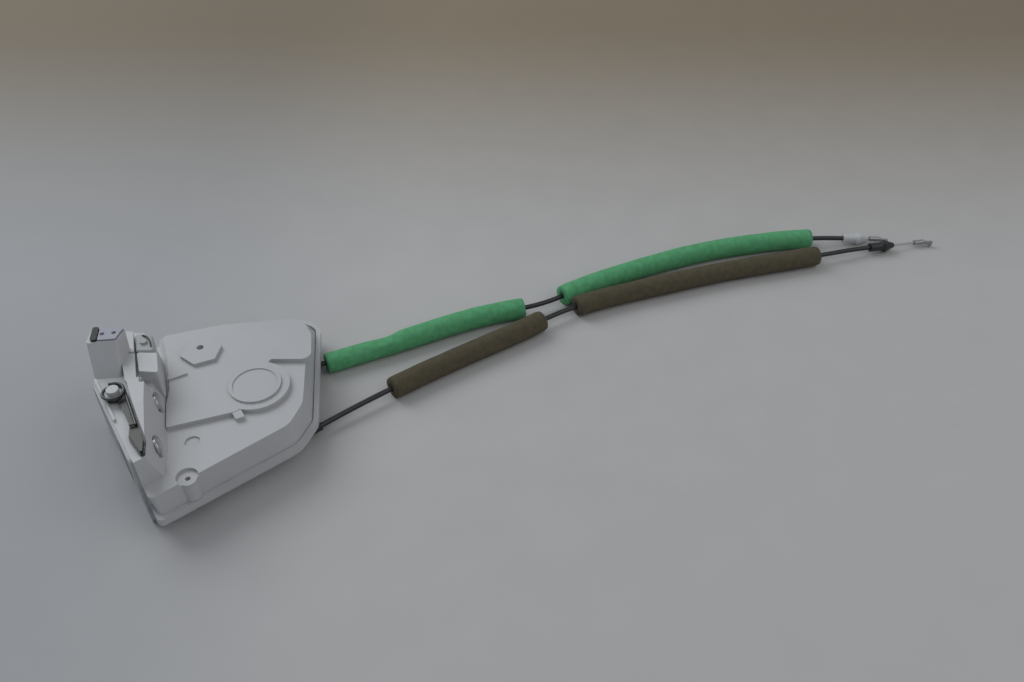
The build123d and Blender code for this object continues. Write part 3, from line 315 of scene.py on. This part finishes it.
def material(name, colour, roughness, metallic=0.0, spread=0.04, grain=400.0, bump=0.05,
             bump_size=900.0, subsurface=0.0):
    """A noise-varied surface: colour, roughness and bump all come from object space."""
    mat = bpy.data.materials.new(name)
    mat.use_nodes = True
    tree = mat.node_tree
    shader = tree.nodes["Principled BSDF"]
    shader.inputs["Metallic"].default_value = metallic
    shader.inputs["Subsurface Weight"].default_value = subsurface
    shader.inputs["Subsurface Radius"].default_value = SCATTER
    place = tree.nodes.new("ShaderNodeTexCoord").outputs["Object"]
    cloud = tree.nodes.new("ShaderNodeTexNoise")
    cloud.inputs["Scale"].default_value = grain
    cloud.inputs["Detail"].default_value = 6.0
    tree.links.new(place, cloud.inputs["Vector"])
    ramp = tree.nodes.new("ShaderNodeValToRGB")
    for stop, position, factor in zip(ramp.color_ramp.elements, RAMP, (1 - spread, 1 + spread)):
        stop.position = position
        stop.color = (*[min(c * factor, 1) for c in colour], 1)
    tree.links.new(cloud.outputs["Fac"], ramp.inputs["Fac"])
    tree.links.new(ramp.outputs["Color"], shader.inputs["Base Color"])
    rough = tree.nodes.new("ShaderNodeMapRange")
    rough.inputs["To Min"].default_value = max(roughness - ROUGHNESS_SPREAD, LEAST_ROUGHNESS)
    rough.inputs["To Max"].default_value = min(roughness + ROUGHNESS_SPREAD, 1.0)
    tree.links.new(cloud.outputs["Fac"], rough.inputs["Value"])
    tree.links.new(rough.outputs["Result"], shader.inputs["Roughness"])
    fine = tree.nodes.new("ShaderNodeTexNoise")
    fine.inputs["Scale"].default_value = bump_size
    fine.inputs["Detail"].default_value = 4.0
    tree.links.new(place, fine.inputs["Vector"])
    height = tree.nodes.new("ShaderNodeBump")
    height.inputs["Strength"].default_value = bump
    height.inputs["Distance"].default_value = BUMP_DISTANCE
    tree.links.new(fine.outputs["Fac"], height.inputs["Height"])
    tree.links.new(height.outputs["Normal"], shader.inputs["Normal"])
    return mat


white = material("white_plastic", (0.52, 0.525, 0.535), 0.42,
                 spread=0.03, grain=60, bump=0.08, bump_size=1400, subsurface=0.06)
cover_white = material("cover_white", (0.49, 0.495, 0.505), 0.46,
                       spread=0.03, grain=50, bump=0.08, bump_size=1200, subsurface=0.06)
zinc = material("zinc_plate", (0.40, 0.41, 0.42), 0.58, 0.35,
                spread=0.12, grain=300, bump=0.06)
pale_zinc = material("pale_zinc", (0.30, 0.31, 0.36), 0.50, 0.2,
                     spread=0.10, grain=300, bump=0.06)
dark_zinc = material("dark_zinc", (0.085, 0.086, 0.082), 0.46, 0.7,
                     spread=0.2, grain=500, bump=0.08)
bright = material("bright_steel", (0.42, 0.43, 0.44), 0.38, 0.9,
                  spread=0.06, grain=500, bump=0.03)
spring = material("spring_wire", (0.10, 0.10, 0.098), 0.36, 0.85,
                  spread=0.1, grain=800, bump=0.04)
rubber = material("black_rubber", (0.016, 0.016, 0.018), 0.55, spread=0.2, grain=500, bump=0.1)
switch = material("switch_plastic", (0.36, 0.385, 0.38), 0.45, spread=0.06, grain=200, bump=0.08)
acetal = material("acetal", (0.80, 0.80, 0.76), 0.3, spread=0.02, grain=200, subsurface=0.05)
black = material("black_plastic", (0.018, 0.018, 0.02), 0.34, spread=0.2, grain=300)
clear = material("milky_plastic", (0.55, 0.57, 0.58), 0.28, grain=300, bump=0.04, subsurface=0.2)
grey = material("hook_grey", (0.34, 0.34, 0.335), 0.38, 0.7, spread=0.06, bump=0.06)
brass = material("brass", (0.70, 0.52, 0.24), 0.3, 1.0, spread=0.08)
green_foam = material("green_foam", (0.105, 0.39, 0.175), 0.92,
                      spread=0.16, grain=260, bump=0.7, bump_size=1500)
brown_foam = material("brown_foam", (0.088, 0.074, 0.044), 0.92,
                      spread=0.18, grain=260, bump=0.7, bump_size=1500)

LOOKS = {
    "face_plate": zinc, "latch_body": white, "back_plate": zinc, "claw": dark_zinc,
    "claw_jacket": black, "claw_pivot": bright, "claw_spring": spring, "pawl": dark_zinc,
    "pawl_pivot": bright, "pawl_spring": spring, "top_plate": pale_zinc, "edge_strip": rubber,
    "door_switch": switch, "switch_pin": switch, "outside_lever": dark_zinc,
    "lever_spring": spring, "lever_retainer": white, "release_lever": dark_zinc,
    "lock_lever_pivot": bright, "wheel_pin": bright,
    "release_lever_pivot": bright, "lock_lever": acetal, "worm_wheel": acetal, "motor_worm": brass,
    "lock_motor": zinc, "housing_base": cover_white, "housing_cover": cover_white,
    "housing_screws": bright, "connector_terminals": brass, "cable_bushes": rubber,
    "release_ferrule": black, "lock_ferrule": clear, "release_wire": bright, "lock_wire": bright,
    "release_hook": grey, "lock_hook": grey,
}


def dress(thing, look):
    thing.data.materials.clear()
    thing.data.materials.append(look)


for name, look in LOOKS.items():
    dress(nodes[name], look)
for sleeve in sleeves["release"]:
    dress(sleeve, brown_foam)
for sleeve in sleeves["lock"]:
    dress(sleeve, green_foam)
for conduit in conduits.values():
    dress(conduit, black)
dress(contact, black)


# ---- stage ----------------------------------------------------------------------
def fall_off(tree, colour, direction, run, first, last):
    """Multiplies a colour by one that goes from first to last over a run in a level direction."""
    place = tree.nodes.new("ShaderNodeNewGeometry")
    reach = tree.nodes.new("ShaderNodeVectorMath")
    reach.operation = "DOT_PRODUCT"
    reach.inputs[1].default_value = (*direction, 0.0)
    tree.links.new(place.outputs["Position"], reach.inputs[0])
    share = tree.nodes.new("ShaderNodeMapRange")
    share.inputs["From Min"].default_value, share.inputs["From Max"].default_value = run
    tree.links.new(reach.outputs["Value"], share.inputs["Value"])
    shade = tree.nodes.new("ShaderNodeValToRGB")
    shade.color_ramp.interpolation = "EASE"
    shade.color_ramp.elements[0].color = (*first, 1.0)
    shade.color_ramp.elements[1].color = (*last, 1.0)
    tree.links.new(share.outputs["Result"], shade.inputs["Fac"])
    both = tree.nodes.new("ShaderNodeMix")
    both.data_type = "RGBA"
    both.blend_type = "MULTIPLY"
    both.inputs["Factor"].default_value = 1.0
    colours = [socket for socket in both.inputs if socket.type == "RGBA"]
    tree.links.new(colour, colours[0])
    tree.links.new(shade.outputs["Color"], colours[1])
    return [socket for socket in both.outputs if socket.type == "RGBA"][0]


FLOOR_SIZE = 8.0
FLOOR_AT = (0.3, 0.3, -0.0002)
# Where the floor's painted shade changes, in metres along the look and across it, and what by:
# darker and warmer beyond the cables, darker and cooler to the left.
FAR_RUN = (0.10, 0.62)
LEFT_RUN = (-0.12, 0.12)
PLAIN = (1.0, 1.0, 1.0)
FAR_PAINTED_SHADE = (0.53, 0.43, 0.30)
LEFT_PAINTED_SHADE = (0.80, 0.82, 0.85)
ROOM_COLOUR = (0.80, 0.85, 0.92, 1.0)
ROOM_STRENGTH = 0.37


def floor():
    """The table: pale paper, with painted shade that makes it warmer and darker beyond the cables
    and darker and cooler to the left.
    """
    bpy.ops.mesh.primitive_plane_add(size=FLOOR_SIZE, location=FLOOR_AT)
    plane = bpy.context.object
    plane.name = "floor"
    look = material("floor_paper", (0.52, 0.515, 0.51), 0.75, spread=0.02, grain=30, bump_size=500)
    tree = look.node_tree
    base = tree.nodes["Principled BSDF"].inputs["Base Color"]
    colour = base.links[0].from_socket
    # Painted shade: the floor gets darker and warmer beyond the cables, and darker to the left.
    colour = fall_off(tree, colour, LOOK_ALONG, FAR_RUN, PLAIN, FAR_PAINTED_SHADE)
    across = (LOOK_ALONG[1], -LOOK_ALONG[0])
    colour = fall_off(tree, colour, across, LEFT_RUN, LEFT_PAINTED_SHADE, PLAIN)
    tree.links.new(colour, base)
    dress(plane, look)


def area_light(name, place, target, size, power, colour):
    data = bpy.data.lights.new(name, "AREA")
    data.shape = "DISK"
    data.size = size
    data.energy = power
    data.color = colour
    lamp = bpy.data.objects.new(name, data)
    bpy.context.scene.collection.objects.link(lamp)
    lamp.location = place
    lamp.rotation_euler = (Vector(target) - Vector(place)).to_track_quat("-Z", "Y").to_euler()


floor()
area_light("window", (-0.30, 1.30, 1.35), (0.15, 0.0, 0.0),
           size=1.4, power=14.0, colour=(0.95, 0.98, 1.0))
area_light("fill", (0.8, -0.9, 1.2), (0.1, 0.0, 0.0),
           size=1.4, power=4.0, colour=(1.0, 0.95, 0.88))
world = bpy.data.worlds.new("room")
bpy.context.scene.world = world
world.use_nodes = True
background = world.node_tree.nodes["Background"]
background.inputs["Color"].default_value = ROOM_COLOUR
background.inputs["Strength"].default_value = ROOM_STRENGTH
bpy.context.scene.view_settings.view_transform = "Standard"
